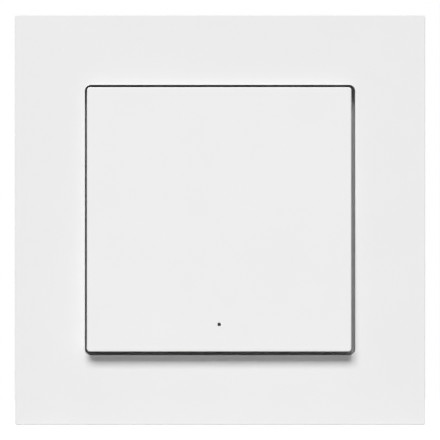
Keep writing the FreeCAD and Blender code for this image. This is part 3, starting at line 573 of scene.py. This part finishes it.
def wrap_mark(form, rows, middle, z, radius, facing):
    """A sign printed round a cylinder, as a film of thin tiles."""
    for column, row in mark_cells(rows):
        corners = []
        for reach in (radius + PRINT_FILM, radius - PRINT_FILM):
            for a, b in ((0, 0), (1, 0), (1, 1), (0, 1)):
                angle = facing + math.pi / 2 + (column + a) * MARK_CELL / radius
                corners.append((middle.x + reach * math.cos(angle),
                                middle.y + reach * math.sin(angle),
                                z + (row + b) * MARK_CELL))
        box_of(form, corners)


def flat_mark(form, rows, x, z, y):
    """A raised sign on a flat back face."""
    for column, row in mark_cells(rows):
        corners = []
        for depth in (y + RAISED_HEIGHT, y - RAISED_ROOT):
            for a, b in ((0, 0), (1, 0), (1, 1), (0, 1)):
                corners.append((x + (column + a) * MARK_CELL, depth, z + (row + b) * MARK_CELL))
        box_of(form, corners)


def rounded_block(form, low, high, bevel):
    """A block between two corners with its edges taken off."""
    corners = [(x, y, z) for y in (low.y, high.y) for x, z in
               ((low.x, low.z), (high.x, low.z), (high.x, high.z), (low.x, high.z))]
    before = set(form.edges)
    box_of(form, corners)
    edges = [edge for edge in form.edges if edge not in before]
    bmesh.ops.bevel(form, geom=edges, offset=bevel, segments=2, affect="EDGES")


def add_board_parts():
    """Small parts and solder joints that such a board carries."""
    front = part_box("circuit_board")[0].y
    bodies, caps = bmesh.new(), bmesh.new()
    half = SMALL_PART_HALF
    for x, z in SMALL_PARTS:
        centre = Vector((x * MM, front - half.y, z * MM))
        rounded_block(bodies, centre - half * BODY_SHARE, centre + half * BODY_SHARE, 0.04 * MM)
        for side in (-1, 1):
            cap = Vector((CAP_HALF, half.y * CAP_SHARE, half.z * CAP_SHARE))
            middle = centre + Vector((side * (half.x - cap.x), 0, 0))
            rounded_block(caps, middle - cap, middle + cap, 0.05 * MM)
    for name in ("upper_switch_body", "lower_switch_body"):
        body_low, body_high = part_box(name)
        body_z = (body_low.z + body_high.z) / 2
        for side in (-1, 1):
            edge = body_high.x if side > 0 else body_low.x
            for place in (-LEG_PLACE, LEG_PLACE):
                middle = Vector((edge + side * JOINT_BEYOND, front - JOINT_HALF.y, body_z + place))
                rounded_block(caps, middle - JOINT_HALF, middle + JOINT_HALF, 0.06 * MM)
    add_piece("board_small_parts", bodies, "chip", smooth=False)
    add_piece("board_solder_joints", caps, "tin", finish=FINISHES["solder"], smooth=False)


def add_light():
    """The large soft panel."""
    light = bpy.data.lights.new("key", "AREA")
    light.shape = "RECTANGLE"
    light.size = 2 * KEY_DISTANCE * math.tan(math.radians(KEY_SPREAD[0] / 2))
    light.size_y = 2 * KEY_DISTANCE * math.tan(math.radians(KEY_SPREAD[1] / 2))
    light.energy = KEY_ENERGY
    holder = bpy.data.objects.new("key", light)
    holder.location = KEY_DIRECTION * KEY_DISTANCE
    holder.rotation_euler = KEY_DIRECTION.to_track_quat("Z", "Y").to_euler()
    bpy.context.collection.objects.link(holder)


def seen_directly(nodes, links):
    """1 for what the camera, a reflection or a clear piece sees, and 0 for what lights a surface."""
    path = nodes.new("ShaderNodeLightPath")
    first = nodes.new("ShaderNodeMath")
    first.operation = "MAXIMUM"
    links.new(path.outputs["Is Camera Ray"], first.inputs[0])
    links.new(path.outputs["Is Glossy Ray"], first.inputs[1])
    second = nodes.new("ShaderNodeMath")
    second.operation = "MAXIMUM"
    links.new(first.outputs[0], second.inputs[0])
    links.new(path.outputs["Is Transmission Ray"], second.inputs[1])
    return second.outputs[0]


def between(nodes, links, chooser, low, high):
    """A value between two others, chosen by a third."""
    node = nodes.new("ShaderNodeMapRange")
    node.inputs["To Min"].default_value = low
    node.inputs["To Max"].default_value = high
    links.new(chooser, node.inputs["Value"])
    return node.outputs["Result"]


def add_room():
    """The even light all round, in front of a white background."""
    world = bpy.data.worlds.new("room")
    world.use_nodes = True
    nodes, links = world.node_tree.nodes, world.node_tree.links
    background = nodes["Background"]
    background.inputs["Color"].default_value = (1.0, 1.0, 1.0, 1.0)
    level = between(nodes, links, seen_directly(nodes, links), ROOM_LEVEL, 1.0)
    links.new(level, background.inputs["Strength"])
    bpy.context.scene.world = world


def add_floor():
    """A pale floor under the object, bright enough to read as white where it is lit."""
    mesh = bpy.data.meshes.new("floor")
    form = bmesh.new()
    corners = [form.verts.new((FRAME_MIDDLE.x + x * FLOOR_REACH, y * FLOOR_REACH, FRAME_LOW.z))
               for x, y in ((-1, -1), (1, -1), (1, 1), (-1, 1))]
    form.faces.new(corners)
    form.to_mesh(mesh)
    form.free()
    floor = bpy.data.objects.new("floor", mesh)
    bpy.context.collection.objects.link(floor)
    material = bpy.data.materials.new("floor")
    material.use_nodes = True
    nodes, links = material.node_tree.nodes, material.node_tree.links
    shader = nodes["Principled BSDF"]
    pale = between(nodes, links, seen_directly(nodes, links), FLOOR_BOUNCE, FLOOR_COLOR)
    links.new(pale, shader.inputs["Base Color"])
    shader.inputs["Roughness"].default_value = 0.9
    shader.inputs["Specular IOR Level"].default_value = 0.0
    shader.inputs["Emission Color"].default_value = (1.0, 1.0, 1.0, 1.0)
    glow = between(nodes, links, seen_directly(nodes, links), 0.0, FLOOR_GLOW)
    links.new(glow, shader.inputs["Emission Strength"])
    mesh.materials.append(material)


def add_camera():
    """A camera straight in front of the frame's middle."""
    camera = bpy.data.cameras.new("camera")
    camera.sensor_width = 36.0
    camera.lens = camera.sensor_width * (CAMERA_DISTANCE + FRONT) / VIEW_WIDTH
    holder = bpy.data.objects.new("camera", camera)
    holder.location = (CAMERA_X, -CAMERA_DISTANCE, CAMERA_Z)
    holder.rotation_euler = (math.radians(90), 0, 0)
    bpy.context.collection.objects.link(holder)
    bpy.context.scene.camera = holder


def main():
    """Finish each solid, add the small pieces and set the studio up."""
    slots = {part["node"]: part["material_slot"] for part in frame["record"]["subparts"]}
    for node in frame["nodes"]:
        if slots[node] != "cell_jacket":
            dress(node, FINISHES[slots[node]])
    dress("battery_left", jacket("jacket_left", "battery_left", plus_up=True))
    dress("battery_right", jacket("jacket_right", "battery_right", plus_up=False))
    add_spring("battery_spring_left", plus_up=True)
    add_spring("battery_spring_right", plus_up=False)
    add_screws()
    add_marks()
    add_board_parts()
    add_light()
    add_room()
    add_floor()
    add_camera()
    bpy.context.scene.view_settings.view_transform = "Standard"


main()
